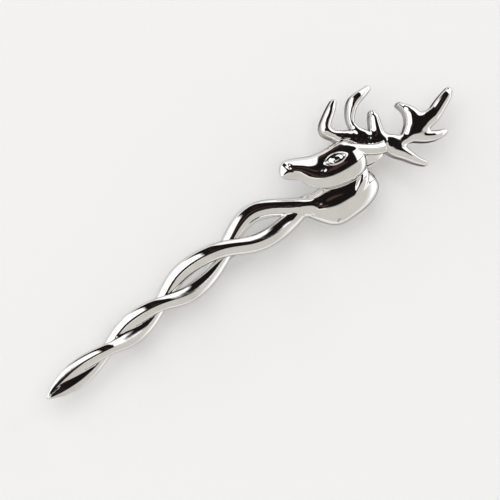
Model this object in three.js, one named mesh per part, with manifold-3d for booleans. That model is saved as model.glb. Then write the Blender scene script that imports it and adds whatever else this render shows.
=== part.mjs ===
// Stag kilt pin: a twisted two-strand shaft that grows into the neck of a stag with branched antlers,
// cast in one piece with the hinge ears and the catch housing of its safety pin.
// The pin lies on its back: +X along the shaft towards the antlers, +Y the side of the nose, +Z the front.
import * as THREE from 'three';
import { mergeVertices } from 'three/addons/utils/BufferGeometryUtils.js';
import Module from 'manifold-3d';

const wasm = await Module();
wasm.setup();

// Twisted shaft, from the neck joint at x = 0 to the leaf tip
const shaftLength = 68.3;
const shaftDrift = 5.4;
const loopSpread = 2.8;
const strandWidth = 3.45;
const strandDepth = 3.0;
const twistDepth = 0.8;

// Neck, a curved horn that swells from the first strand
const neckReach = 15.6;
const neckFall = 3.0;
const neckWidth = 8.3;
const neckDepth = 5.4;

// Head, a wedge from the nose to the crown
const headLength = 16.6;
const headFall = 5.0;
const headWidth = 8.4;
const headDepth = 5.6;
const headLift = 1.6;
const noseX = -0.7;
const noseY = 8.4;
const eyeLength = 4.9;
const eyeHeight = 2.0;
const eyeRelief = 0.5;
const nostrilRadius = 0.32;

// Ear, behind the head
const earLength = 6.4;
const earWidth = 2.9;
const earDepth = 1.5;

// Antlers, one domed plate that branches into seven tines
const antlerReach = 25.2;
const antlerSpan = 20.7;
const antlerDepth = 3.2;
const tineWidth = 3.0;

// Safety pin on the back
const wireDiameter = 0.9;
const clothGap = 4.3;
const stemLength = 63.2;
const stemPoint = 5.0;
const stemTurn = THREE.MathUtils.degToRad(3.64);
const hingeX = 17.6;
const hingeY = 1.4;
const axisHeight = 1.7;
const barrelRadius = 1.0;
const barrelLength = 1.3;
const earThickness = 0.75;
const earLugLength = 2.6;
const rivetRadius = 0.4;
const rivetHeadRadius = 0.8;
const rivetHeadHeight = 0.35;
const soldered = 7.0;

// Safety catch
const catchInset = 1.6;
const catchLength = 2.0;
const catchWidth = 3.6;
const rollerRadius = 1.1;
const rollerWall = 0.45;
const flangeRadius = 1.45;
const flangeThickness = 0.4;
const tabReach = 2.4;
const tabWidth = 0.9;

// Clearances of the running fits
const runningGap = 0.15;
const sideGap = 0.2;

const bright = { color: 0xdcdad6, metalness: 1, roughness: 0.08 };
const steel = { color: 0xc9cacb, metalness: 1, roughness: 0.18 };

const wireRadius = wireDiameter / 2;
const castMid = axisHeight + wireRadius + clothGap + twistDepth + strandDepth / 2;

function solid(geometry) {
  const bare = geometry.index ? geometry.toNonIndexed() : geometry.clone();
  bare.deleteAttribute('normal');
  bare.deleteAttribute('uv');
  const welded = mergeVertices(bare, 1e-4);
  return new wasm.Manifold(new wasm.Mesh({
    numProp: 3,
    vertProperties: new Float32Array(welded.attributes.position.array),
    triVerts: new Uint32Array(welded.index.array),
  }));
}

function geometryOf(body) {
  const mesh = body.getMesh();
  const geometry = new THREE.BufferGeometry();
  geometry.setAttribute('position', new THREE.BufferAttribute(mesh.vertProperties.slice(), 3));
  geometry.setIndex(new THREE.BufferAttribute(mesh.triVerts.slice(), 1));
  geometry.computeVertexNormals();
  return geometry;
}

function joined(bodies) {
  return bodies.reduce((whole, body) => whole.add(body));
}

const station = (x, y, z, wide, deep) => ({ x, y, z, wide, deep });

// A closed rod along a smooth spine. Each station gives the spine's point, the half width across it and
// the half depth. A squareness of 2 gives an oval section, and a larger one a rounder-cornered box.
function limb(stations, sides, steps, squareness = 2) {
  const spine = new THREE.CatmullRomCurve3(
    stations.map(({ x, y, z }) => new THREE.Vector3(x, y, z)), false, 'centripetal');
  const girth = new THREE.CatmullRomCurve3(
    stations.map(({ wide, deep }) => new THREE.Vector3(wide, deep, 0)), false, 'catmullrom', 0.4);
  const rod = new THREE.CylinderGeometry(1, 1, 1, sides, steps);
  const place = rod.attributes.position;
  const upright = new THREE.Vector3(0, 0, 1);
  const squared = (share) => Math.sign(share) * Math.abs(share) ** (2 / squareness);
  for (let i = 0; i < place.count; i += 1) {
    const along = THREE.MathUtils.clamp(0.5 - place.getY(i), 0, 1);
    const centre = spine.getPoint(along);
    const tangent = spine.getTangent(along);
    const size = girth.getPoint(along);
    const side = new THREE.Vector3().crossVectors(upright, tangent).normalize();
    const up = new THREE.Vector3().crossVectors(tangent, side);
    centre.addScaledVector(side, squared(place.getX(i)) * Math.max(size.x, 0.05));
    centre.addScaledVector(up, squared(place.getZ(i)) * Math.max(size.y, 0.05));
    place.setXYZ(i, centre.x, centre.y, centre.z);
  }
  return solid(rod);
}

// Rows of the twist: how far along the shaft, how far the pair has drifted sideways, how far each strand
// stands from the middle, how far the first strand rises, and how thick the strands are.
const twist = [
  { along: -0.05, drift: 0.0, spread: -0.12, lift: 1.0, girth: 1.0 },
  { along: 0.0, drift: 0.01, spread: -0.08, lift: 1.0, girth: 1.05 },
  { along: 0.057, drift: 0.09, spread: 0.45, lift: 0.7, girth: 1.0 },
  { along: 0.106, drift: 0.2, spread: 0.88, lift: 0.0, girth: 1.0 },
  { along: 0.156, drift: 0.255, spread: 1.0, lift: -0.5, girth: 1.0 },
  { along: 0.215, drift: 0.22, spread: 0.66, lift: -0.9, girth: 0.97 },
  { along: 0.28, drift: 0.16, spread: 0.0, lift: -1.0, girth: 0.94 },
  { along: 0.35, drift: 0.06, spread: -0.6, lift: -0.4, girth: 0.9 },
  { along: 0.424, drift: -0.055, spread: -0.81, lift: 0.5, girth: 0.87 },
  { along: 0.485, drift: -0.165, spread: -0.5, lift: 0.9, girth: 0.83 },
  { along: 0.545, drift: -0.278, spread: 0.0, lift: 1.0, girth: 0.78 },
  { along: 0.6, drift: -0.38, spread: 0.4, lift: 0.4, girth: 0.73 },
  { along: 0.657, drift: -0.472, spread: 0.55, lift: -0.5, girth: 0.7 },
  { along: 0.707, drift: -0.56, spread: 0.38, lift: -0.9, girth: 0.68 },
  { along: 0.757, drift: -0.652, spread: 0.0, lift: -0.8, girth: 0.68 },
  { along: 0.815, drift: -0.745, spread: -0.33, lift: -0.3, girth: 0.72 },
  { along: 0.878, drift: -0.826, spread: -0.43, lift: 0.0, girth: 0.73 },
  { along: 0.94, drift: -0.91, spread: -0.3, lift: 0.0, girth: 0.52 },
  { along: 0.98, drift: -0.97, spread: -0.12, lift: 0.0, girth: 0.24 },
  { along: 1.0, drift: -1.0, spread: 0.0, lift: 0.0, girth: 0.06 },
];

function strand(turn) {
  const stations = twist.map(({ along, drift, spread, lift, girth }) => station(
    -shaftLength * along,
    shaftDrift * drift + turn * loopSpread * spread,
    castMid + turn * twistDepth * lift,
    strandWidth / 2 * girth,
    strandDepth / 2 * girth,
  ));
  return limb(stations, 12, 66);
}

// Neck rows: shares of the reach and of the fall below the joint, then of the half width and half depth.
const neckRows = [
  { along: -0.28, fall: -0.62, wide: 0.42, deep: 0.55, lift: 0.0 },
  { along: -0.08, fall: 0.03, wide: 0.52, deep: 0.62, lift: 0.1 },
  { along: 0.13, fall: 0.55, wide: 0.72, deep: 0.76, lift: 0.0 },
  { along: 0.3, fall: 0.83, wide: 1.06, deep: 0.92, lift: -0.1 },
  { along: 0.48, fall: 0.98, wide: 1.03, deep: 1.0, lift: -0.2 },
  { along: 0.68, fall: 0.94, wide: 0.95, deep: 0.95, lift: -0.3 },
  { along: 0.87, fall: 0.7, wide: 0.88, deep: 0.82, lift: -0.4 },
  { along: 1.0, fall: 0.47, wide: 0.66, deep: 0.6, lift: -0.4 },
  { along: 1.04, fall: 0.38, wide: 0.3, deep: 0.25, lift: -0.4 },
];

function neck() {
  const stations = neckRows.map(({ along, fall, wide, deep, lift }) => station(
    neckReach * along,
    -neckFall * fall,
    castMid + lift,
    neckWidth / 2 * wide,
    neckDepth / 2 * deep,
  ));
  return limb(stations, 18, 20, 2.2);
}

// Head rows from the nose to the crown, in shares of the head's length, fall, width and depth.
const headRows = [
  { along: -0.01, fall: -0.03, wide: 0.3, deep: 0.2 },
  { along: 0.02, fall: 0.03, wide: 0.43, deep: 0.36 },
  { along: 0.09, fall: 0.14, wide: 0.52, deep: 0.45 },
  { along: 0.21, fall: 0.36, wide: 0.62, deep: 0.53 },
  { along: 0.35, fall: 0.74, wide: 0.86, deep: 0.7 },
  { along: 0.54, fall: 0.98, wide: 0.97, deep: 0.95 },
  { along: 0.77, fall: 1.0, wide: 1.0, deep: 1.0 },
  { along: 0.92, fall: 0.98, wide: 0.74, deep: 0.78 },
  { along: 1.0, fall: 0.96, wide: 0.22, deep: 0.3 },
];
const muzzleTilt = 0.12;

function head() {
  const stations = headRows.map(({ along, fall, wide, deep }) => station(
    noseX + headLength * along,
    noseY - headFall * fall,
    castMid + headLift,
    headWidth / 2 * wide,
    headDepth / 2 * deep,
  ));
  const skull = limb(stations, 20, 18, 2.3);
  const front = castMid + headLift + headDepth / 2;
  const eyeX = noseX + headLength * 0.6;
  const eyeY = noseY - headFall * 0.78;
  const ball = new THREE.SphereGeometry(1, 14, 10);
  ball.scale(eyeLength / 2, eyeHeight / 2, eyeRelief * 2);
  ball.rotateZ(-muzzleTilt * 2);
  ball.translate(eyeX, eyeY, front - eyeRelief);
  const nostril = new THREE.SphereGeometry(nostrilRadius, 8, 6);
  const snout = stations[2];
  nostril.translate(snout.x, snout.y + snout.wide * 0.3, snout.z + snout.deep * 0.94);
  return [skull.add(solid(ball)).subtract(solid(nostril))];
}

// Ear rows from its root behind the crown to its tip.
const earRows = [
  { along: -0.1, bend: 0.1, wide: 0.7, deep: 1.0 },
  { along: 0.15, bend: -0.35, wide: 0.95, deep: 1.0 },
  { along: 0.45, bend: -0.7, wide: 1.0, deep: 0.9 },
  { along: 0.75, bend: -0.6, wide: 0.8, deep: 0.7 },
  { along: 0.93, bend: -0.1, wide: 0.4, deep: 0.5 },
  { along: 1.0, bend: 0.15, wide: 0.1, deep: 0.3 },
];
const earBend = 1.1;

function ear() {
  const rootX = noseX + headLength * 0.96;
  const rootY = noseY - headFall * 1.24;
  const stations = earRows.map(({ along, bend, wide, deep }) => station(
    rootX + earLength * along,
    rootY + earBend * bend,
    castMid,
    earWidth / 2 * wide,
    earDepth / 2 * deep,
  ));
  return limb(stations, 10, 10);
}

// Antler branches: shares of the reach along X, of the span across Y and of the half width.
const branch = (along, side, wide) => ({ along, side, wide });
const branches = {
  beam: [
    branch(-0.04, 0.03, 0.6), branch(0.0, -0.005, 0.8), branch(0.1, -0.065, 0.98),
    branch(0.185, -0.14, 1.02), branch(0.26, -0.21, 1.0), branch(0.345, -0.285, 0.98),
    branch(0.425, -0.314, 0.8), branch(0.52, -0.295, 0.95), branch(0.607, -0.27, 1.15),
    branch(0.72, -0.262, 0.85),
  ],
  brow: [
    branch(0.063, -0.01, 0.6), branch(-0.008, 0.034, 0.7), branch(-0.071, 0.097, 0.65),
    branch(-0.096, 0.169, 0.74), branch(-0.063, 0.227, 0.6), branch(0.022, 0.3, 0.52),
    branch(0.095, 0.377, 0.15),
  ],
  bez: [
    branch(0.15, -0.06, 0.65), branch(0.123, 0.034, 0.44), branch(0.123, 0.101, 0.4),
    branch(0.155, 0.174, 0.5), branch(0.202, 0.234, 0.62), branch(0.242, 0.261, 0.66),
    branch(0.317, 0.28, 0.5), branch(0.409, 0.295, 0.18),
  ],
  tray: [
    branch(0.25, -0.16, 1.0), branch(0.27, -0.087, 0.85), branch(0.294, -0.01, 0.66),
    branch(0.31, 0.043, 0.5), branch(0.319, 0.082, 0.2),
  ],
  crest: [
    branch(0.575, -0.26, 1.5), branch(0.592, -0.159, 1.12), branch(0.583, -0.072, 0.56),
    branch(0.556, 0.007, 0.2),
  ],
  fore: [
    branch(0.62, -0.27, 1.15), branch(0.683, -0.264, 0.98), branch(0.754, -0.256, 0.88),
    branch(0.841, -0.213, 0.78), branch(0.933, -0.164, 0.58), branch(0.994, -0.118, 0.18),
  ],
  lower: [
    branch(0.51, -0.3, 1.0), branch(0.571, -0.372, 0.85), branch(0.655, -0.432, 0.6),
    branch(0.722, -0.452, 0.42), branch(0.778, -0.457, 0.15),
  ],
  rear: [
    branch(0.31, -0.3, 1.2), branch(0.33, -0.357, 1.1), branch(0.366, -0.43, 0.8),
    branch(0.42, -0.536, 0.44), branch(0.483, -0.628, 0.15),
  ],
};
const crownX = noseX + headLength * 0.915;
const crownY = noseY - headFall * 0.24;

function antlers() {
  return Object.values(branches).map((rows) => {
    const stations = rows.map(({ along, side, wide }) => station(
      crownX + antlerReach * along,
      crownY + antlerSpan * side,
      castMid,
      tineWidth / 2 * wide,
      antlerDepth / 2 * Math.min(1, 0.78 + wide * 0.4),
    ));
    return limb(stations, 12, 8, 3.6);
  });
}

// The pin line: local x along the closed stem towards the hinge, local z up to the cast body.
const pinLine = new THREE.Matrix4().makeRotationZ(stemTurn);
pinLine.setPosition(hingeX, hingeY, axisHeight);

function onPinLine(geometry) {
  geometry.applyMatrix4(pinLine);
  return geometry;
}

function crossRod(radius, length, sides) {
  return new THREE.CylinderGeometry(radius, radius, length, sides);
}

const hingeGap = barrelLength + 2 * sideGap;
const lugTop = castMid - axisHeight - earDepth / 3;

// Two drilled lugs and the plate that is soldered along the back of the neck
function hingeBlock() {
  const lugs = [-1, 1].map((hand) => {
    const lug = new THREE.BoxGeometry(earLugLength, earThickness, lugTop + axisHeight);
    lug.translate(0, hand * (hingeGap + earThickness) / 2, (lugTop - axisHeight) / 2);
    return solid(onPinLine(lug));
  });
  const plateHeight = lugTop - barrelRadius - sideGap * 2;
  const plate = new THREE.BoxGeometry(soldered, hingeGap + earThickness * 2, plateHeight);
  plate.translate(earLugLength / 2 - soldered / 2, 0, lugTop - plateHeight / 2);
  const drill = crossRod(rivetRadius + runningGap, hingeGap + earThickness * 3, 20);
  return joined([...lugs, solid(onPinLine(plate))]).subtract(solid(onPinLine(drill)));
}

const catchX = catchInset - stemLength;
const boreRadius = rollerRadius + runningGap;
const slotWidth = wireDiameter + 2 * runningGap;
const bossWidth = strandWidth * 0.7;

// A block with a round bore that is open below, on a post from the back of the shaft
function catchHousing() {
  const open = Math.asin(slotWidth / 2 / boreRadius);
  const outline = new THREE.Shape();
  outline.moveTo(-slotWidth / 2, -axisHeight);
  outline.lineTo(-slotWidth / 2, -boreRadius * Math.cos(open));
  outline.absarc(0, 0, boreRadius, -Math.PI / 2 - open, -Math.PI / 2 + open, true);
  outline.lineTo(slotWidth / 2, -axisHeight);
  outline.lineTo(catchWidth / 2, -axisHeight);
  outline.lineTo(catchWidth / 2, 0);
  outline.absarc(0, 0, catchWidth / 2, 0, Math.PI, false);
  outline.lineTo(-catchWidth / 2, -axisHeight);
  const block = new THREE.ExtrudeGeometry(outline, { depth: catchLength, bevelEnabled: false, curveSegments: 14 });
  block.translate(0, 0, -catchLength / 2);
  block.rotateX(Math.PI / 2);
  block.rotateZ(Math.PI / 2);
  block.translate(catchX, 0, 0);
  const postHeight = castMid - axisHeight - boreRadius - runningGap;
  const post = new THREE.BoxGeometry(catchLength, bossWidth, postHeight);
  post.translate(catchX, 0, castMid - axisHeight - postHeight / 2);
  const bore = crossRod(boreRadius, catchLength * 2, 28);
  bore.rotateZ(Math.PI / 2);
  bore.translate(catchX, 0, 0);
  return solid(onPinLine(block)).add(solid(onPinLine(post))).subtract(solid(onPinLine(bore)));
}

function castBody() {
  return joined([
    strand(1), strand(-1), neck(), ...head(), ear(), ...antlers(), hingeBlock(), catchHousing(),
  ]);
}

// Drawn wire with a ground point, wrapped into a drilled barrel at the hinge
function pinStem() {
  const pointX = -stemLength;
  const wire = [
    station(-barrelRadius * 0.5, 0, 0, wireRadius, wireRadius),
    station(-stemLength / 2, 0, 0, wireRadius, wireRadius),
    station(pointX + stemPoint, 0, 0, wireRadius, wireRadius),
    station(pointX + stemPoint / 2, 0, 0, wireRadius * 0.62, wireRadius * 0.62),
    station(pointX, 0, 0, wireRadius * 0.15, wireRadius * 0.15),
  ];
  const rod = limb(wire, 12, 16);
  const barrel = solid(crossRod(barrelRadius, barrelLength, 24));
  const drill = solid(crossRod(rivetRadius + runningGap, barrelLength * 2, 20));
  return rod.add(barrel).subtract(drill);
}

function hingeRivet() {
  const reach = hingeGap / 2 + earThickness + sideGap;
  const profile = [
    new THREE.Vector2(0, -reach - rivetHeadHeight),
    new THREE.Vector2(rivetHeadRadius * 0.7, -reach - rivetHeadHeight),
    new THREE.Vector2(rivetHeadRadius, -reach),
    new THREE.Vector2(rivetRadius, -reach),
    new THREE.Vector2(rivetRadius, reach),
    new THREE.Vector2(rivetHeadRadius, reach),
    new THREE.Vector2(rivetHeadRadius * 0.7, reach + rivetHeadHeight),
    new THREE.Vector2(0, reach + rivetHeadHeight),
  ];
  return solid(new THREE.LatheGeometry(profile, 20));
}

// A slotted spool with a flange at each end and a thumb tab on the outer one
function catchRoller() {
  const half = catchLength / 2 + sideGap;
  const end = half + flangeThickness;
  const bore = rollerRadius - rollerWall;
  const profile = [
    new THREE.Vector2(bore, -end),
    new THREE.Vector2(flangeRadius, -end),
    new THREE.Vector2(flangeRadius, -half),
    new THREE.Vector2(rollerRadius, -half),
    new THREE.Vector2(rollerRadius, half),
    new THREE.Vector2(flangeRadius, half),
    new THREE.Vector2(flangeRadius, end),
    new THREE.Vector2(bore, end),
    new THREE.Vector2(bore, -end),
  ];
  const spool = new THREE.LatheGeometry(profile, 28);
  spool.rotateZ(Math.PI / 2);
  const tab = new THREE.BoxGeometry(flangeThickness, tabReach - flangeRadius * 0.7, tabWidth);
  tab.translate(-half - flangeThickness / 2, (tabReach + flangeRadius * 0.7) / 2, 0);
  const slot = new THREE.BoxGeometry(end * 3, slotWidth, flangeRadius * 2);
  slot.translate(0, 0, -flangeRadius);
  return solid(spool).add(solid(tab)).subtract(solid(slot));
}

function node(name, body, finish) {
  const mesh = new THREE.Mesh(geometryOf(body), new THREE.MeshStandardMaterial(finish));
  mesh.name = name;
  return mesh;
}

const pin = new THREE.Group();
pin.add(node('cast_body', castBody(), bright));

const pinLineGroup = new THREE.Group();
pinLineGroup.position.set(hingeX, hingeY, axisHeight);
pinLineGroup.rotation.z = stemTurn;
pinLineGroup.add(node('pin_stem', pinStem(), steel));
pinLineGroup.add(node('hinge_rivet', hingeRivet(), steel));
const roller = node('catch_roller', catchRoller(), steel);
roller.position.x = catchX;
pinLineGroup.add(roller);
pin.add(pinLineGroup);

// The origin lies under the middle of the pin, on the surface that its feet stand on
const extent = new THREE.Box3().setFromObject(pin);
const middle = extent.getCenter(new THREE.Vector3());
pin.position.set(-middle.x, -middle.y, -extent.min.z);

export default pin;
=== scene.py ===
import math

import bpy
import numpy as np
from mathutils import Matrix, Vector


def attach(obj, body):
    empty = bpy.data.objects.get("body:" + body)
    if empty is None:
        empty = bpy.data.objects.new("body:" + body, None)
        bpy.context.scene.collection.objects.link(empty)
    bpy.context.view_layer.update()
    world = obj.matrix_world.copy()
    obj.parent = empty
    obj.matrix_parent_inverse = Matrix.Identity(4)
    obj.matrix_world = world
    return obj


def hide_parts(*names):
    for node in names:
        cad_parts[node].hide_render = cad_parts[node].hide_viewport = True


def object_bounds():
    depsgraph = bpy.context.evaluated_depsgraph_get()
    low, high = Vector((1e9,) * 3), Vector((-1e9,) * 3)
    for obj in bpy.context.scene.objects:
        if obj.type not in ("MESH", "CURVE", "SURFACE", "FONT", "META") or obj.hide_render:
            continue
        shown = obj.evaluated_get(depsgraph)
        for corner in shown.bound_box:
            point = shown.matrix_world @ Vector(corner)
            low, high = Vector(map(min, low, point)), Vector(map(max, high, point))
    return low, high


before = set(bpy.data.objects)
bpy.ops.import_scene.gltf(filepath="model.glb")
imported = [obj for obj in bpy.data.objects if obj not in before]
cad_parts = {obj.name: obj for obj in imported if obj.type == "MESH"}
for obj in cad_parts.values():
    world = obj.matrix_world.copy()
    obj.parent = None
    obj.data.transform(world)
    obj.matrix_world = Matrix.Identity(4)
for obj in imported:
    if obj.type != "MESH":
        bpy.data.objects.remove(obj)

cad_low, cad_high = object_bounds()

# Camera. The photograph looks down on the front of the pin, turned twenty degrees towards the leaf tip,
# with the shaft running up to the right. A long lens keeps the picture almost parallel.
MM = 0.001
VIEW_TURN = math.radians(20.0)
SHAFT_RISE = 0.53
SHAFT_RUN = 0.848
SHAFT_SLANT = math.atan2(SHAFT_RISE, SHAFT_RUN)
LENS_DISTANCE = 2.0
SENSOR_WIDTH = 36.0
CLIP = (0.05, 20.0)
PIXEL = 0.2 * MM
PICTURE_SIDE = 500
JOINT_PIXEL = (306.0, 205.1)
JOINT_FROM_CORNER = (68.335, 7.149)
CAST_MID = 8.75

joint = Vector((cad_low.x + JOINT_FROM_CORNER[0] * MM, cad_low.y + JOINT_FROM_CORNER[1] * MM, CAST_MID * MM))
to_camera = Vector((-math.sin(VIEW_TURN), 0.0, math.cos(VIEW_TURN)))
along_shaft = Vector((math.cos(VIEW_TURN), 0.0, math.sin(VIEW_TURN)))
across_shaft = Vector((0.0, 1.0, 0.0))
picture_right = along_shaft * math.cos(SHAFT_SLANT) - across_shaft * math.sin(SHAFT_SLANT)
picture_up = along_shaft * math.sin(SHAFT_SLANT) + across_shaft * math.cos(SHAFT_SLANT)


def place_camera():
    """Aims at the middle of the picture, found from the pixel where the neck joins the shaft."""
    data = bpy.data.cameras.new("camera")
    data.sensor_width = SENSOR_WIDTH
    data.lens = data.sensor_width * LENS_DISTANCE / (PIXEL * PICTURE_SIDE)
    data.clip_start, data.clip_end = CLIP
    camera = bpy.data.objects.new("camera", data)
    bpy.context.scene.collection.objects.link(camera)
    right = (PICTURE_SIDE / 2 - JOINT_PIXEL[0]) * PIXEL
    up = (JOINT_PIXEL[1] - PICTURE_SIDE / 2) * PIXEL
    middle = joint + picture_right * right + picture_up * up
    turn = Matrix((picture_right, picture_up, to_camera)).transposed()
    camera.matrix_world = Matrix.Translation(middle + to_camera * LENS_DISTANCE) @ turn.to_4x4()
    bpy.context.scene.camera = camera


place_camera()

# Studio floor, a plain sheet of pale board that the pin lies on by its back fittings. It is matt, and
# large enough to fill every view.
FLOOR_SIDE = 12.0
FLOOR_TONE = (0.86, 0.86, 0.855, 1.0)
FLOOR_ROUGHNESS = 0.8
FLOOR_GLEAM = 0.1


def floor_sheet():
    """One square face in the plane of the feet."""
    half = FLOOR_SIDE / 2
    mesh = bpy.data.meshes.new("studio_floor")
    corners = [(-half, -half, 0.0), (half, -half, 0.0), (half, half, 0.0), (-half, half, 0.0)]
    mesh.from_pydata(corners, [], [(0, 1, 2, 3)])
    sheet = bpy.data.objects.new("studio_floor", mesh)
    bpy.context.scene.collection.objects.link(sheet)
    board = bpy.data.materials.new("white_board")
    board.use_nodes = True
    shader = board.node_tree.nodes["Principled BSDF"]
    shader.inputs["Base Color"].default_value = FLOOR_TONE
    shader.inputs["Roughness"].default_value = FLOOR_ROUGHNESS
    shader.inputs["Specular IOR Level"].default_value = FLOOR_GLEAM
    mesh.materials.append(board)


floor_sheet()

# Studio light, a white tent round the pin with a lamp over it. A dark slot in the tent stands where the flat
# front of the pin mirrors it and runs up towards the nose side. The wall below the slot is a warm light grey.
TENT_WHITE = (1.25, 1.25, 1.25, 1.0)
TENT_GREY = (0.62, 0.60, 0.57, 1.0)
SLOT_DARK = (0.010, 0.008, 0.008, 1.0)
SLOT_BROWN = (0.062, 0.036, 0.031, 1.0)
BROWN_PATCHES = (0.585, 0.65)
PATCH_SCALE = 3.4
PATCH_DETAIL = 1.0
# places in the tent are turns and rises in degrees, and a pair is either both ends of a soft edge or a band's
# middle and half width
SLOT_MIDDLE = -3.0
SLOT_LEAN = 0.17
SLOT_WIDE = 17.5
SLOT_NARROW = 13.5
SLOT_EDGE = 2.5
SLOT_NARROWS = (25.0, 50.0)
SLOT_LOW_END = (-14.0, -5.0)
SLOT_HIGH_END = (95.0, 125.0)
WALL_PALES = (20.0, 42.0)
SEAM = (-6.0, 1.4)
CAMERA_BAR_TURN = (-34.0, 22.0)
CAMERA_BAR_RISE = (3.0, 9.0)
BAR_SOFTNESS = 0.15
LAMP_SIDE = 1.6
LAMP_PLACE = (-0.25, 0.35, 1.8)
LAMP_POWER = 14.5


def studio_tent():
    """The tent's tone depends on the direction alone: how many degrees it turns sideways from the flat
    front's mirror image of the camera, and how many it rises from there towards the nose side."""
    world = bpy.data.worlds.new("studio_tent")
    bpy.context.scene.world = world
    world.use_nodes = True
    tree = world.node_tree
    nodes, links = tree.nodes, tree.links
    nodes.clear()
    direction = nodes.new("ShaderNodeTexCoord").outputs["Generated"]

    def toward(axis):
        """How far the direction points along an axis, as their dot product."""
        dot = nodes.new("ShaderNodeVectorMath")
        dot.operation = "DOT_PRODUCT"
        links.new(direction, dot.inputs[0])
        dot.inputs[1].default_value = axis
        return dot.outputs["Value"]

    def worked(kind, *values):
        """One step of arithmetic on numbers or sockets."""
        node = nodes.new("ShaderNodeMath")
        node.operation = kind
        for socket, value in zip(node.inputs, values):
            if isinstance(value, float):
                socket.default_value = value
            else:
                links.new(value, socket)
        return node.outputs[0]

    def ramp(value, low, high, start=0.0, end=1.0):
        """From start to end while the value goes from low to high, as the smooth step 3t^2 - 2t^3."""
        node = nodes.new("ShaderNodeMapRange")
        node.interpolation_type = "SMOOTHSTEP"
        links.new(value, node.inputs["Value"])
        node.inputs["From Min"].default_value = low
        node.inputs["From Max"].default_value = high
        node.inputs["To Min"].default_value = start
        node.inputs["To Max"].default_value = end
        return node.outputs["Result"]

    def mixed(share, first, second):
        """The first colour at share nought and the second at share one."""
        node = nodes.new("ShaderNodeMix")
        node.data_type = "RGBA"
        links.new(share, node.inputs["Factor"])
        for socket, value in ((node.inputs["A"], first), (node.inputs["B"], second)):
            if isinstance(value, tuple):
                socket.default_value = value
            else:
                links.new(value, socket)
        return node.outputs["Result"]

    mirrored = (math.sin(VIEW_TURN), 0.0, math.cos(VIEW_TURN))
    sideways = (math.cos(VIEW_TURN), 0.0, -math.sin(VIEW_TURN))
    turn = worked("DEGREES", worked("ARCSINE", toward(sideways)))
    rise = worked("DEGREES", worked("ARCTAN2", toward(across_shaft), toward(mirrored)))
    middle = worked("ADD", worked("MULTIPLY", worked("MAXIMUM", rise, 0.0), SLOT_LEAN), SLOT_MIDDLE)
    half_width = ramp(rise, *SLOT_NARROWS, SLOT_WIDE, SLOT_NARROW)
    outside = worked("SUBTRACT", worked("ABSOLUTE", worked("SUBTRACT", turn, middle)), half_width)
    above_low = ramp(rise, *SLOT_LOW_END)
    in_slot = worked("MULTIPLY", ramp(outside, -SLOT_EDGE, SLOT_EDGE, 1.0, 0.0), above_low)
    in_slot = worked("MULTIPLY", in_slot, ramp(rise, *SLOT_HIGH_END, 1.0, 0.0))

    def band(value, centre, half):
        """One inside the band and nought outside, with an edge that is soft over BAR_SOFTNESS of its half
        width to each side."""
        away = worked("ABSOLUTE", worked("SUBTRACT", value, centre))
        return ramp(away, half * (1.0 - BAR_SOFTNESS), half * (1.0 + BAR_SOFTNESS), 1.0, 0.0)

    bar = worked("MULTIPLY", band(turn, *CAMERA_BAR_TURN), band(rise, *CAMERA_BAR_RISE))
    in_slot = worked("MAXIMUM", in_slot, worked("MAXIMUM", bar, band(rise, *SEAM)))
    patches = nodes.new("ShaderNodeTexNoise")
    patches.inputs["Scale"].default_value = PATCH_SCALE
    patches.inputs["Detail"].default_value = PATCH_DETAIL
    links.new(direction, patches.inputs["Vector"])
    brown = ramp(patches.outputs["Fac"], *BROWN_PATCHES)
    slot = mixed(brown, SLOT_DARK, SLOT_BROWN)
    wall = mixed(worked("MAXIMUM", above_low, ramp(turn, *WALL_PALES)), TENT_GREY, TENT_WHITE)
    background = nodes.new("ShaderNodeBackground")
    links.new(mixed(in_slot, wall, slot), background.inputs["Color"])
    output = nodes.new("ShaderNodeOutputWorld")
    links.new(background.outputs["Background"], output.inputs["Surface"])
    bpy.context.scene.view_settings.view_transform = "Standard"


def overhead_lamp():
    """A broad lamp that lights the floor and is kept out of the mirror image."""
    data = bpy.data.lights.new("lamp", "AREA")
    data.shape = "SQUARE"
    data.size = LAMP_SIDE
    data.energy = LAMP_POWER
    lamp = bpy.data.objects.new("lamp", data)
    lamp.location = LAMP_PLACE
    lamp.rotation_euler = (-Vector(LAMP_PLACE)).to_track_quat("-Z", "Y").to_euler()
    lamp.visible_glossy = False
    bpy.context.scene.collection.objects.link(lamp)


studio_tent()
overhead_lamp()

# Cast body: the twisted strands, neck, head, ear and antlers, cast in one piece in zinc and plated.
# Its surface is where a field of distances is nought: each limb of the casting adds its own distance,
# in millimetres from the neck joint, and neighbouring limbs are joined with a small solder fillet.
SHAFT_LENGTH = 68.3
SHAFT_DRIFT = 5.4
LOOP_SPREAD = 2.8
STRAND_WIDTH = 3.45
STRAND_DEPTH = 3.0
TWIST_DEPTH = 1.35
SPINE_STEPS = 400
LIMB_MARGIN = 1.4
FAR = 2.5
FILLETS = {
    # millimetres between each piece of the casting and the pieces before it
    "strands": 0.16, "neck": 0.9, "ear": 0.25, "nape flap": 0.12, "antlers": 0.3, "ear bed": 0.3,
    "crest wall": 0.1, "ear fold": 0.12, "head": 0.3, "dents": 0.15, "fittings": 0.25, "plate": 0.1,
    "post": 0.3,
}


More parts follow.
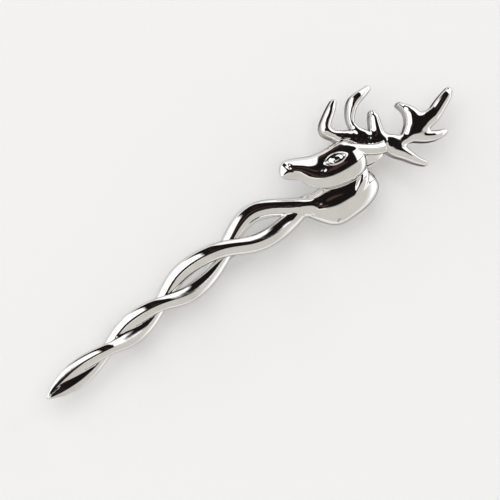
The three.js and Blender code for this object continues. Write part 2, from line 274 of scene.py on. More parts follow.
def smooth_rows(rows):
    """A natural cubic spline through the rows. The first three columns are a point, and the spline's
    parameter grows with the square root of the distance from row to row."""
    rows = np.asarray(rows, float)
    steps = np.sqrt(np.linalg.norm(np.diff(rows[:, :3], axis=0), axis=1))
    knots = np.concatenate([[0.0], np.cumsum(steps)])
    number = len(rows)
    slopes = np.diff(rows, axis=0) / steps[:, None]
    system = np.zeros((number, number))
    right = np.zeros_like(rows)
    system[0, 0] = system[-1, -1] = 1.0
    inner = np.arange(1, number - 1)
    system[inner, inner - 1] = steps[:-1]
    system[inner, inner] = 2.0 * (steps[:-1] + steps[1:])
    system[inner, inner + 1] = steps[1:]
    right[inner] = 6.0 * np.diff(slopes, axis=0)
    bend = np.linalg.solve(system, right)
    place = np.linspace(0.0, knots[-1], SPINE_STEPS)
    part = np.clip(np.searchsorted(knots, place, side="right") - 1, 0, number - 2)
    low = (place - knots[part])[:, None]
    high = steps[part][:, None] - low
    width = steps[part][:, None]
    return (
        bend[part] * high ** 3 / (6.0 * width) + bend[part + 1] * low ** 3 / (6.0 * width)
        + (rows[part] / width - bend[part] * width / 6.0) * high
        + (rows[part + 1] / width - bend[part + 1] * width / 6.0) * low
    )


def nearest_on(spine, points):
    """For each point the place on the spine that is nearest: the closest of a few samples, then three
    steps along the tangent."""
    every = 8
    samples = spine[::every, :3]
    best = np.full(len(points), np.inf)
    place = np.zeros(len(points))
    for index, sample in enumerate(samples):
        gap = ((points - sample) ** 2).sum(1)
        closer = gap < best
        best[closer] = gap[closer]
        place[closer] = index * every
    marks = np.arange(len(spine))
    speed = np.gradient(spine[:, :3], axis=0)
    for _ in range(3):
        centre = np.stack([np.interp(place, marks, spine[:, k]) for k in range(3)], 1)
        tangent = np.stack([np.interp(place, marks, speed[:, k]) for k in range(3)], 1)
        step = ((points - centre) * tangent).sum(1) / (tangent ** 2).sum(1)
        place = np.clip(place + step, 0, len(spine) - 1)
    centre = np.stack([np.interp(place, marks, spine[:, k]) for k in range(3)], 1)
    tangent = np.stack([np.interp(place, marks, speed[:, k]) for k in range(3)], 1)
    tangent /= np.linalg.norm(tangent, axis=1)[:, None]
    return place, centre, tangent


class Limb:
    """A profile carried along a spine. Rows hold x, y, z, half width, half depth and squareness n. Its field
    is ((a / wide)^n + (b / deep)^n + (c / end)^n)^(1/n) - 1 over that value's slope, with a across, b in
    depth and c past the end. The end is the smaller half size times the cap. A roll turns the profile
    about the spine, with its lower side to the front."""

    def __init__(self, rows, cap=0.3, roll=0.0):
        self.spine = smooth_rows(rows)
        self.cap = cap
        self.roll = roll
        margin = self.spine[:, 3:5].max() + LIMB_MARGIN
        self.low = self.spine[:, :3].min(0) - margin
        self.high = self.spine[:, :3].max(0) + margin

    def profile(self, points):
        """Where each point lies, across the spine, in depth and past its end, and the size of the profile."""
        place, centre, tangent = nearest_on(self.spine, points)
        marks = np.arange(len(self.spine))
        wide, deep, power = (np.interp(place, marks, self.spine[:, k]) for k in (3, 4, 5))
        side = np.stack([-tangent[:, 1], tangent[:, 0], np.zeros(len(points))], 1)
        side /= np.linalg.norm(side, axis=1)[:, None]
        up = np.cross(tangent, side)
        side, up = (side * math.cos(self.roll) - up * math.sin(self.roll),
                    up * math.cos(self.roll) + side * math.sin(self.roll))
        offset = points - centre
        across, depth, past = ((offset * axis).sum(1) for axis in (side, up, tangent))
        return across, depth, past, wide, deep, power

    def field(self, points):
        """The distance in millimetres, true near the surface."""
        across, depth, past, wide, deep, power = self.profile(points)
        end = np.minimum(wide, deep) * self.cap
        ratios = np.stack([np.abs(across) / wide, np.abs(depth) / deep, np.abs(past) / end], 0) + 1e-6
        value = (ratios ** power).sum(0) ** (1.0 / power)
        slope = (ratios / value) ** (power - 1.0) / np.stack([wide, deep, end], 0)
        return (value - 1.0) / np.sqrt((slope ** 2).sum(0))


def within(limb, points, distance):
    """The distance where the points lie in the limb's own box, and a plain large value elsewhere."""
    near = ((points > limb.low) & (points < limb.high)).all(1)
    result = np.full(len(points), FAR)
    if near.any():
        result[near] = np.minimum(distance(points[near]), FAR)
    return result


def blended(first, second, fillet):
    """The smaller of two distances. Where they are alike, a mix of both less the fillet times s(1 - s), with
    s the share of the first."""
    share = np.clip(0.5 + 0.5 * (second - first) / fillet, 0.0, 1.0)
    return second * (1.0 - share) + first * share - fillet * share * (1.0 - share)


TWIST = [
    # along, drift, spread, lift of the first strand, lift of the second, girth across, girth in depth
    (-0.100, -0.100, -0.05, 0.00, 0.00, 0.10, 0.10),
    (-0.055, -0.040, -0.10, 0.00, 0.00, 0.42, 0.40),
    (0.000, 0.010, -0.08, 0.20, -0.20, 1.00, 1.00),
    (0.057, 0.090, 0.45, -0.10, -0.15, 1.05, 1.00),
    (0.106, 0.200, 0.87, -0.55, 0.15, 1.07, 1.00),
    (0.156, 0.255, 1.03, -0.85, 0.45, 1.08, 1.00),
    (0.215, 0.220, 0.74, -0.92, 0.78, 1.02, 0.97),
    (0.280, 0.160, 0.00, -0.93, 0.93, 0.96, 0.94),
    (0.340, 0.075, -0.54, -0.60, 0.86, 0.96, 0.91),
    (0.388, 0.000, -0.76, -0.24, 0.48, 0.99, 0.88),
    (0.424, -0.055, -0.80, 0.02, 0.08, 1.00, 0.87),
    (0.460, -0.120, -0.71, 0.27, -0.32, 0.99, 0.85),
    (0.500, -0.195, -0.42, 0.54, -0.66, 0.92, 0.82),
    (0.545, -0.278, 0.00, 0.80, -0.80, 0.82, 0.78),
    (0.590, -0.362, 0.33, 0.72, -0.56, 0.86, 0.74),
    (0.630, -0.428, 0.46, 0.38, -0.30, 0.92, 0.71),
    (0.657, -0.472, 0.48, 0.05, -0.10, 0.93, 0.70),
    (0.690, -0.530, 0.40, -0.33, 0.16, 0.88, 0.69),
    (0.725, -0.593, 0.22, -0.60, 0.45, 0.78, 0.68),
    (0.757, -0.652, 0.00, -0.70, 0.70, 0.72, 0.68),
    (0.790, -0.706, -0.19, -0.70, 0.56, 0.77, 0.66),
    (0.820, -0.750, -0.32, -0.62, 0.26, 0.82, 0.65),
    (0.850, -0.788, -0.39, -0.50, 0.00, 0.86, 0.62),
    (0.885, -0.835, -0.40, -0.30, -0.18, 0.85, 0.54),
    (0.920, -0.884, -0.34, -0.08, -0.26, 0.74, 0.42),
    (0.960, -0.940, -0.21, 0.10, -0.24, 0.46, 0.24),
    (0.998, -0.998, 0.00, 0.10, -0.10, 0.06, 0.04),
]


def strand(turn):
    """One strand of the twist. The turn is 1 for the first and -1 for the second, which lies on the other
    side of the shaft's line."""
    rows = [(-SHAFT_LENGTH * along, SHAFT_DRIFT * drift + turn * LOOP_SPREAD * spread,
             TWIST_DEPTH * (first if turn > 0 else second),
             STRAND_WIDTH / 2 * wide, STRAND_DEPTH / 2 * deep, 2.0)
            for along, drift, spread, first, second, wide, deep in TWIST]
    return Limb(rows)


NECK_REACH = 15.6
NECK_FALL = 3.0
NECK_WIDTH = 8.3
NECK_DEPTH = 5.4
NECK = [
    # along, fall, wide, deep, lift
    (-0.14, -0.20, 0.12, 0.16, 0.0),
    (-0.03, 0.14, 0.36, 0.44, 0.1),
    (0.13, 0.55, 0.72, 0.76, 0.0),
    (0.30, 0.83, 1.05, 0.92, -0.1),
    (0.48, 0.97, 1.01, 1.00, -0.2),
    (0.68, 0.94, 0.95, 0.95, -0.3),
    (0.83, 0.73, 0.88, 0.85, -0.4),
    (0.93, 0.52, 0.66, 0.62, -0.4),
    (0.975, 0.42, 0.34, 0.30, -0.4),
]
neck = Limb([(NECK_REACH * along, -NECK_FALL * fall, lift, NECK_WIDTH / 2 * wide, NECK_DEPTH / 2 * deep, 2.1)
             for along, fall, wide, deep, lift in NECK])

HEAD_LENGTH = 16.6
HEAD_FALL = 5.0
HEAD_WIDTH = 8.4
HEAD_DEPTH = 5.6
HEAD_LIFT = 1.6
NOSE = (-0.7, 8.4)
HEAD = [
    # along, fall, wide, deep, lift, squareness
    (-0.037, -0.03, 0.30, 0.20, 0.95, 2.0),
    (-0.008, 0.03, 0.43, 0.33, 0.99, 1.8),
    (0.063, 0.14, 0.52, 0.42, 1.01, 1.5),
    (0.190, 0.36, 0.62, 0.52, 1.02, 1.5),
    (0.342, 0.74, 0.86, 0.66, 0.96, 1.8),
    (0.542, 0.98, 0.97, 0.85, 0.86, 2.1),
    (0.774, 1.00, 1.00, 0.88, 0.87, 2.1),
    (0.920, 0.98, 0.74, 0.68, 0.88, 2.1),
    (1.000, 0.96, 0.22, 0.30, 0.80, 2.0),
]
HEAD_ROLL = math.radians(13.0)
head = Limb([(NOSE[0] + HEAD_LENGTH * along, NOSE[1] - HEAD_FALL * fall, HEAD_LIFT * lift,
              HEAD_WIDTH / 2 * wide, HEAD_DEPTH / 2 * deep, squareness)
             for along, fall, wide, deep, lift, squareness in HEAD], roll=HEAD_ROLL)

EYE_CENTRE = (9.3, 4.75)
EYE_LENGTH = 4.6
EYE_HEIGHT = 1.85
EYE_TILT = math.radians(-9.0)
RIM_HEIGHT = 0.22
RIM_WIDTH = 0.2
BALL_HEIGHT = 0.42
BALL_REACH = (1.6, 0.85)
PUPIL_PLACE = (0.3, 0.05)
PUPIL_DEPTH = 0.05
PUPIL_WIDTH = 0.35
TEAR_PIT = (5.6, 3.9)
TEAR_PIT_DEPTH = 0.16
TEAR_PIT_REACH = (0.7, 0.35)
NOSTRIL = (0.4, 8.5)
NOSTRIL_DEPTH = 0.3
NOSTRIL_WIDTH = 0.3
NOSE_PAD = (-0.05, 8.4)
PAD_LINE_DEPTH = 0.12
PAD_LINE_ACROSS = (0.9, 0.3)
PAD_LINE_WIDTH = 0.16
PAD_LINE_REACH = 1.1


def head_relief(x, y):
    """How far the chased detail stands above the plain head. The eye's rim follows two crossing circles, and
    its ball is a paraboloid. The rim, pupil, pit, nostril and pad line fall off as exp(-(away / width)^2)."""
    ahead = (x - EYE_CENTRE[0]) * math.cos(EYE_TILT) + (y - EYE_CENTRE[1]) * math.sin(EYE_TILT)
    above = (y - EYE_CENTRE[1]) * math.cos(EYE_TILT) - (x - EYE_CENTRE[0]) * math.sin(EYE_TILT)
    radius = (EYE_LENGTH ** 2 + EYE_HEIGHT ** 2) / (4.0 * EYE_HEIGHT)
    shift = radius - EYE_HEIGHT / 2
    lid = np.maximum(np.hypot(ahead, above - shift), np.hypot(ahead, above + shift)) - radius
    rim = RIM_HEIGHT * np.exp(-(lid / RIM_WIDTH) ** 2)
    ball = BALL_HEIGHT * np.clip(1.0 - (ahead / BALL_REACH[0]) ** 2 - (above / BALL_REACH[1]) ** 2, 0.0, 1.0)
    from_pupil = (ahead - PUPIL_PLACE[0]) ** 2 + (above - PUPIL_PLACE[1]) ** 2
    pupil = PUPIL_DEPTH * np.exp(-from_pupil / PUPIL_WIDTH ** 2)
    along_pit, across_pit = x - TEAR_PIT[0], y - TEAR_PIT[1]
    from_pit = along_pit ** 2 / TEAR_PIT_REACH[0] ** 2 + across_pit ** 2 / TEAR_PIT_REACH[1] ** 2
    pit = TEAR_PIT_DEPTH * np.exp(-from_pit)
    from_nostril = (x - NOSTRIL[0]) ** 2 + (y - NOSTRIL[1]) ** 2
    nostril = NOSTRIL_DEPTH * np.exp(-from_nostril / NOSTRIL_WIDTH ** 2)
    behind_pad = (x - NOSE_PAD[0]) * PAD_LINE_ACROSS[0] + (y - NOSE_PAD[1]) * PAD_LINE_ACROSS[1]
    from_line = (behind_pad / PAD_LINE_WIDTH) ** 2 + ((y - NOSE_PAD[1]) / PAD_LINE_REACH) ** 2
    pad_line = PAD_LINE_DEPTH * np.exp(-from_line)
    return rim + ball - pupil - pit - nostril - pad_line


EAR_LENGTH = 5.8
EAR_WIDTH = 2.9
EAR_DEPTH = 1.5
EAR_BEND = 1.1
EAR_RISE = 1.1
EAR = [
    # along, bend, wide, deep
    (-0.10, 0.10, 0.70, 1.0),
    (0.15, -0.35, 0.95, 1.0),
    (0.45, -0.70, 1.00, 0.9),
    (0.75, -0.60, 0.80, 0.7),
    (0.93, -0.10, 0.40, 0.5),
    (1.00, 0.15, 0.10, 0.3),
]
EAR_ON_HEAD = (0.96, 1.24)
ear_root = (NOSE[0] + HEAD_LENGTH * EAR_ON_HEAD[0], NOSE[1] - HEAD_FALL * EAR_ON_HEAD[1])
ear = Limb([(ear_root[0] + EAR_LENGTH * along, ear_root[1] + EAR_BEND * bend, EAR_RISE * (1.0 - along),
             EAR_WIDTH / 2 * wide, EAR_DEPTH / 2 * deep, 2.0)
            for along, bend, wide, deep in EAR])
EAR_FOLD = [
    # x, y, z, half width, half depth, squareness: the ear's upper edge, folded forward
    (11.4, 5.7, 1.6, 0.50, 0.50, 2.0),
    (13.2, 4.9, 2.2, 1.15, 1.15, 2.0),
    (14.9, 4.0, 2.25, 1.15, 1.15, 2.1),
    (16.7, 2.9, 2.05, 1.10, 1.00, 2.3),
    (18.6, 2.0, 1.7, 1.10, 0.95, 2.5),
    (20.3, 1.55, 1.4, 1.15, 0.90, 2.8),
]
ear_fold = Limb(EAR_FOLD, cap=0.15)
EAR_BED = [
    # x, y, z, half width, half depth, squareness: the flat rough bed between the ear and the antler
    (15.0, 5.8, -0.1, 0.90, 1.50, 4.0),
    (16.6, 4.8, 0.0, 1.20, 1.64, 4.0),
    (18.6, 3.5, 0.0, 1.20, 1.64, 4.0),
    (21.0, 2.2, 0.0, 1.00, 1.56, 4.0),
]
BED_GRAIN = 0.045
BED_ROLL = math.radians(4.0)
ear_bed = Limb(EAR_BED, roll=BED_ROLL)


def bed_field(points):
    """The bed, raised by its cast grain: the product of a wave in x and a wave in y, both a little over a
    millimetre long, with phases that waver with the other coordinate."""
    x, y, z = points.T
    grain = np.sin(5.1 * x + 2.0 * np.sin(3.3 * y)) * np.sin(4.7 * y + 2.0 * np.sin(2.9 * x))
    return ear_bed.field(points) - BED_GRAIN * grain * np.clip(z, 0.0, 1.0)


ANTLER_REACH = 25.2
ANTLER_SPAN = 20.7
ANTLER_DEPTH = 3.2
TINE_WIDTH = 3.0
WEB_FILLET = 0.9
FRONT_ROUND = 1.15
BACK_ROUND = 0.35
FULL_WIDTH = 1.0
TIP_FALL = 0.7
BRANCHES = {
    # along, side, wide
    "beam": [(-0.04, 0.03, 0.6), (0.0, -0.005, 0.8), (0.1, -0.065, 0.98), (0.185, -0.14, 1.02),
             (0.26, -0.21, 1.0), (0.345, -0.285, 0.98), (0.425, -0.314, 0.8), (0.52, -0.295, 0.95),
             (0.607, -0.27, 1.15), (0.72, -0.262, 0.85)],
    "brow": [(0.063, -0.01, 0.6), (-0.008, 0.034, 0.7), (-0.071, 0.097, 0.68), (-0.096, 0.169, 0.78),
             (-0.063, 0.227, 0.68), (0.022, 0.3, 0.60), (0.083, 0.354, 0.42)],
    "bez": [(0.15, -0.06, 0.65), (0.123, 0.034, 0.48), (0.123, 0.101, 0.46), (0.155, 0.174, 0.58),
            (0.202, 0.234, 0.70), (0.242, 0.261, 0.74), (0.317, 0.28, 0.62), (0.392, 0.294, 0.42)],
    "tray": [(0.25, -0.16, 1.0), (0.27, -0.087, 0.88), (0.294, -0.01, 0.74), (0.31, 0.039, 0.62),
             (0.315, 0.064, 0.46)],
    "crest": [(0.575, -0.26, 1.5), (0.592, -0.159, 1.12), (0.578, -0.072, 0.64), (0.550, 0.004, 0.32)],
    "fore": [(0.62, -0.27, 1.15), (0.683, -0.264, 1.0), (0.754, -0.256, 0.92), (0.841, -0.213, 0.86),
             (0.933, -0.164, 0.70), (0.970, -0.138, 0.50)],
    "lower": [(0.51, -0.3, 1.0), (0.571, -0.372, 0.88), (0.655, -0.432, 0.68), (0.722, -0.452, 0.54),
              (0.762, -0.456, 0.38)],
    "rear": [(0.31, -0.3, 1.2), (0.33, -0.357, 1.1), (0.366, -0.43, 0.84), (0.42, -0.536, 0.56),
             (0.474, -0.611, 0.38)],
}
CROWN_ON_HEAD = (0.915, 0.24)
crown = (NOSE[0] + HEAD_LENGTH * CROWN_ON_HEAD[0], NOSE[1] - HEAD_FALL * CROWN_ON_HEAD[1])
branches = [Limb([(crown[0] + ANTLER_REACH * along, crown[1] + ANTLER_SPAN * side, 0.0,
                   TINE_WIDTH / 2 * wide, ANTLER_DEPTH / 2, 2.0) for along, side, wide in rows])
            for rows in BRANCHES.values()]


def branch_outline(limb, points):
    """Distance to a tine's outline seen from the front, and the tine's half width w there. Inside it the
    distance is (d^2 - w^2) / 2w, with d from the middle, so that the dome has no crease."""
    flat = points.copy()
    flat[:, 2] = 0.0
    across, _, past, wide, _, _ = limb.profile(flat)
    from_middle = np.hypot(across, past)
    inner = (from_middle ** 2 - wide ** 2) / (2.0 * wide)
    return np.where(from_middle < wide, inner, from_middle - wide), wide


def rounded_slab(outline, depth, radius):
    """The distance to an outline that is given depth, with its edge rounded. Both distances are moved in by
    the radius, and past both they are joined as the sides of a right angle."""
    outline = outline + radius
    depth = depth + radius
    outside = np.hypot(np.maximum(outline, 0.0), np.maximum(depth, 0.0))
    return np.minimum(np.maximum(outline, depth), 0.0) + outside - radius


def antler_field(points):
    """The tines' joined outline, given depth: the front edge rounded over a wide radius and the back over a
    small one. A tine that is thinner than FULL_WIDTH also lies lower, so that its tip falls away."""
    outline = np.full(len(points), FAR)
    level = np.full(len(points), 1.0)
    for limb in branches:
        near = ((points > limb.low) & (points < limb.high)).all(1)
        if not near.any():
            continue
        distance, wide = branch_outline(limb, points[near])
        share = np.clip(0.5 + 0.5 * (distance - outline[near]) / WEB_FILLET, 0.0, 1.0)
        height = 1.0 - TIP_FALL * np.clip(1.0 - wide / FULL_WIDTH, 0.0, 1.0)
        level[near] = level[near] * share + height * (1.0 - share)
        outline[near] = blended(outline[near], np.minimum(distance, FAR), WEB_FILLET)
    front = points[:, 2] > 0.0
    depth = np.abs(points[:, 2]) - ANTLER_DEPTH / 2 * np.where(front, level, 1.0)
    return rounded_slab(outline, depth, np.where(front, FRONT_ROUND, BACK_ROUND))


CREST_WALL = [
    # x, y, z, half width, half depth, squareness: the sheer rear wall of the tine that is cut off flat
    (28.0, 7.45, -0.3, 0.42, 1.3, 4.0),
    (28.55, 6.0, -0.3, 0.42, 1.3, 4.0),
    (28.75, 4.6, -0.3, 0.42, 1.3, 4.0),
    (28.6, 3.4, -0.3, 0.36, 1.3, 4.0),
]
crest_wall = Limb(CREST_WALL, cap=0.12)

NAPE_FLAP = [
    # x, y, z, half width, half depth, squareness: the loose skin behind the jaw
    (9.4, -3.3, 1.3, 0.80, 1.05, 2.4),
    (11.2, -2.5, 1.35, 1.15, 1.25, 3.0),
    (13.0, -1.2, 1.2, 1.15, 1.25, 3.0),
    (14.4, 0.6, 0.7, 0.80, 1.00, 2.4),
]
NAPE_ROLL = math.radians(-12.0)
nape_flap = Limb(NAPE_FLAP, cap=0.2, roll=NAPE_ROLL)
DENTS = [
    # x, y, z, radius: small marks at the lower edge of the neck
    (-0.3, -2.55, 1.15, 0.36),
    (3.9, -5.75, 1.0, 0.45),
]

strands = [strand(1), strand(-1)]

AXIS_HEIGHT = 1.7
HINGE = (17.6, 1.4, AXIS_HEIGHT - CAST_MID)
STEM_TURN = math.radians(3.64)
LUG_LENGTH = 2.6
LUG_THICKNESS = 0.75
LUG_GAP = 1.7
LUG_TOP = 6.55
PLATE_LENGTH = 7.0
PLATE_DROP = 1.4
RIVET_HOLE = 0.55
CATCH_AT = -61.6
CATCH_LENGTH = 2.0
CATCH_WIDTH = 3.6
CATCH_BORE = 1.25
CATCH_SLOT = 1.2
POST_WIDTH = 2.4
EDGE_ROUND = 0.16
FITTINGS_REACH = 0.5


def box_field(offset, half, rounding):
    """The distance to a box with rounded edges, from its middle and half sizes."""
    over = np.abs(offset) - (np.asarray(half) - rounding)
    return np.linalg.norm(np.maximum(over, 0.0), axis=1) + np.minimum(over.max(1), 0.0) - rounding


def fittings_field(points):
    """The lugs and plate of the hinge and the catch housing with its post, soldered to the back. They are
    square to the line of the closed stem."""
    turn = np.array([[math.cos(STEM_TURN), -math.sin(STEM_TURN), 0.0],
                     [math.sin(STEM_TURN), math.cos(STEM_TURN), 0.0], [0.0, 0.0, 1.0]])
    local = (points - HINGE) @ turn
    lug_half = (LUG_LENGTH / 2, LUG_THICKNESS / 2, (LUG_TOP + AXIS_HEIGHT) / 2)
    lug_offset = local - (0.0, 0.0, (LUG_TOP - AXIS_HEIGHT) / 2)
    lug_offset[:, 1] = np.abs(lug_offset[:, 1]) - (LUG_GAP + LUG_THICKNESS) / 2
    hinge = box_field(lug_offset, lug_half, EDGE_ROUND)
    plate_half = (PLATE_LENGTH / 2, LUG_GAP / 2 + LUG_THICKNESS, (LUG_TOP - PLATE_DROP) / 2)
    plate_middle = ((LUG_LENGTH - PLATE_LENGTH) / 2, 0.0, (LUG_TOP + PLATE_DROP) / 2)
    hinge = blended(hinge, box_field(local - plate_middle, plate_half, EDGE_ROUND), FILLETS["plate"])
    hinge = np.maximum(hinge, RIVET_HOLE - np.hypot(local[:, 0], local[:, 2]))
    across, height = local[:, 1], local[:, 2]
    foot = np.abs(height + AXIS_HEIGHT / 2) - AXIS_HEIGHT / 2
    foot = np.maximum(np.abs(across) - CATCH_WIDTH / 2, foot)
    block = np.minimum(foot, np.hypot(across, height) - CATCH_WIDTH / 2)
    housing = rounded_slab(block, np.abs(local[:, 0] - CATCH_AT) - CATCH_LENGTH / 2, EDGE_ROUND)
    post_middle = (CATCH_AT, 0.0, (CAST_MID - AXIS_HEIGHT + CATCH_BORE) / 2)
    post_half = (CATCH_LENGTH / 2, POST_WIDTH / 2, (CAST_MID - AXIS_HEIGHT - CATCH_BORE) / 2)
    housing = blended(housing, box_field(local - post_middle, post_half, EDGE_ROUND), FILLETS["post"])
    bore = CATCH_BORE - np.hypot(across, height)
    mouth = np.minimum(CATCH_SLOT / 2 - np.abs(across), -height)
    housing = np.maximum(housing, np.maximum(bore, mouth))
    return np.minimum(hinge, housing)


def head_field(points):
    """The plain head, raised by the chased detail, which comes in over the first millimetre of its front."""
    facing = np.clip(points[:, 2] - HEAD_LIFT, 0.0, 1.0)
    return head.field(points) - facing * head_relief(points[:, 0], points[:, 1])


def casting_field(points):
    """All pieces of the casting joined in turn, each with its fillet, then dented. The fittings join only
    the back, below FITTINGS_REACH."""
    first, second = (within(limb, points, limb.field) for limb in strands)
    body = blended(first, second, FILLETS["strands"])
    body = blended(body, within(neck, points, neck.field), FILLETS["neck"])
    body = blended(body, within(ear, points, ear.field), FILLETS["ear"])
    body = blended(body, within(nape_flap, points, nape_flap.field), FILLETS["nape flap"])
    body = blended(body, antler_field(points), FILLETS["antlers"])
    body = blended(body, within(ear_bed, points, bed_field), FILLETS["ear bed"])
    body = blended(body, within(crest_wall, points, crest_wall.field), FILLETS["crest wall"])
    body = blended(body, within(ear_fold, points, ear_fold.field), FILLETS["ear fold"])
    body = blended(body, within(head, points, head_field), FILLETS["head"])
    for x, y, z, radius in DENTS:
        dent = np.linalg.norm(points - (x, y, z), axis=1) - radius
        body = -blended(-body, dent, FILLETS["dents"])
    behind = points[:, 2] < FITTINGS_REACH
    body[behind] = blended(body[behind], fittings_field(points[behind]), FILLETS["fittings"])
    return body


CELL = 0.2
GRID_LOW = (-70.0, -9.0, -9.3)
GRID_HIGH = (41.5, 17.0, 6.5)
BLOCK = 4
BLOCK_REACH = 1.6
EVENING = 0.6
STEP_LIMIT = 0.15
SLOPE_FLOOR = 0.05


def field_on_grid(low, high, cell):
    """The field on a grid, worked out only in the blocks of cells that lie near the surface, which the
    field at the middle of each block tells."""
    counts = (np.ceil((high - low) / (cell * BLOCK)).astype(int) + 1) * BLOCK
    axes = [low[k] + cell * np.arange(counts[k]) for k in range(3)]
    rough_axes = [axis[::BLOCK] + cell * (BLOCK - 1) / 2 for axis in axes]
    rough = np.stack(np.meshgrid(*rough_axes, indexing="ij"), -1).reshape(-1, 3)
    near = np.abs(casting_field(rough)) < cell * BLOCK * BLOCK_REACH
    near = near.reshape([len(axis) for axis in rough_axes])
    for axis in range(3):
        near = np.repeat(near, BLOCK, axis)
    grid = np.full(near.shape, FAR)
    where = np.argwhere(near)
    grid[near] = casting_field(low + where * cell)
    return grid, near


def surface_net(grid, known, low, cell):
    """One vertex in each cell that the surface crosses, at the mean of the places where it cuts the cell's
    edges, and one face round each grid edge that it cuts, turned towards the outside."""
    shape = np.array(grid.shape) - 1
    corners = [(i, j, k) for i in (0, 1) for j in (0, 1) for k in (0, 1)]

    def shifted(array, corner):
        """The values at one corner of every cell."""
        i, j, k = corner
        return array[i:i + shape[0], j:j + shape[1], k:k + shape[2]]

    below = sum(shifted(grid < 0, corner).astype(np.int8) for corner in corners)
    whole = np.logical_and.reduce([shifted(known, corner) for corner in corners])
    mixed = (below > 0) & (below < 8) & whole
    cells = np.argwhere(mixed)
    number = np.full(mixed.shape, -1)
    number[mixed] = np.arange(len(cells))
    total = np.zeros((len(cells), 3))
    hits = np.zeros(len(cells))
    for start in corners:
        for axis in range(3):
            if start[axis]:
                continue
            stop = tuple(1 if k == axis else start[k] for k in range(3))
            a = grid[tuple((cells + start).T)]
            b = grid[tuple((cells + stop).T)]
            cut = (a < 0) != (b < 0)
            share = np.where(cut, a / np.where(cut, a - b, 1.0), 0.0)
            spot = cells + np.array(start, float)
            spot[:, axis] += share
            total[cut] += spot[cut]
            hits[cut] += 1
    vertices = low + total / hits[:, None] * cell
    faces = []
    for axis in range(3):
        one, two = (axis + 1) % 3, (axis + 2) % 3
        here = [slice(1, -1)] * 3
        here[axis] = slice(0, -1)
        ahead = [slice(1, -1)] * 3
        ahead[axis] = slice(1, None)
        a = grid[tuple(here)] < 0
        b = grid[tuple(ahead)] < 0
        offset = np.array([1, 1, 1])
        offset[axis] = 0
        for crossing, flip in ((a & ~b, False), (~a & b, True)):
            at = np.argwhere(crossing) + offset
            ring = []
            for back_one, back_two in ((0, 0), (1, 0), (1, 1), (0, 1)):
                spot = at.copy()
                spot[:, one] -= back_one
                spot[:, two] -= back_two
                ring.append(number[tuple(spot.T)])
            quad = np.stack(ring, 1)
            quad = quad[(quad >= 0).all(1)]
            faces.append(quad[:, ::-1] if flip else quad)
    return vertices, np.concatenate(faces)


def slope_at(points, values):
    """The field's slope by small steps along each axis."""
    small = 0.01
    steps = np.eye(3) * small
    return np.stack([(casting_field(points + step) - values) / small for step in steps], 1)


def settled(vertices, faces, rounds=2):
    """Evens out the faces by moving each vertex towards the mean of its neighbours, then puts it back on the
    surface along the field's slope, by the field over the slope's square."""
    edges = np.concatenate([faces[:, [k, (k + 1) % 4]] for k in range(4)])
    for _ in range(rounds):
        total = np.zeros_like(vertices)
        count = np.zeros(len(vertices))
        for a, b in ((0, 1), (1, 0)):
            for k in range(3):
                total[:, k] += np.bincount(edges[:, a], vertices[edges[:, b], k], len(vertices))
            count += np.bincount(edges[:, a], minlength=len(vertices))
        vertices = vertices * (1.0 - EVENING) + total / count[:, None] * EVENING
        for _ in range(2):
            values = casting_field(vertices)
            slope = slope_at(vertices, values)
            length = np.maximum((slope ** 2).sum(1), SLOPE_FLOOR)
            vertices = vertices - slope * np.clip(values / length, -STEP_LIMIT, STEP_LIMIT)[:, None]
    return vertices


def cast_mesh():
    """The whole casting in metres, in the frame of the CAD."""
    low = np.array(GRID_LOW)
    grid, known = field_on_grid(low, np.array(GRID_HIGH), CELL)
    vertices, faces = surface_net(grid, known, low, CELL)
    vertices = settled(vertices, faces)
    mesh = bpy.data.meshes.new("stag_casting")
    place = vertices * MM + np.array(joint)
    mesh.from_pydata(place, [], faces)
    mesh.update()
    mesh.shade_smooth()
    return mesh


casting = bpy.data.objects.new("stag_casting", cast_mesh())
bpy.context.scene.collection.objects.link(casting)
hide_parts("cast_body")
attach(casting, "casting")

CLOUD_DETAIL = 3.0
CLOUD_EDGES = (0.42, 0.72)
MARKS_DETAIL = 2.0
MARKS_FINENESS = 16.0
MARKS_FULL = 0.6
MARKS_STRENGTH = 0.5


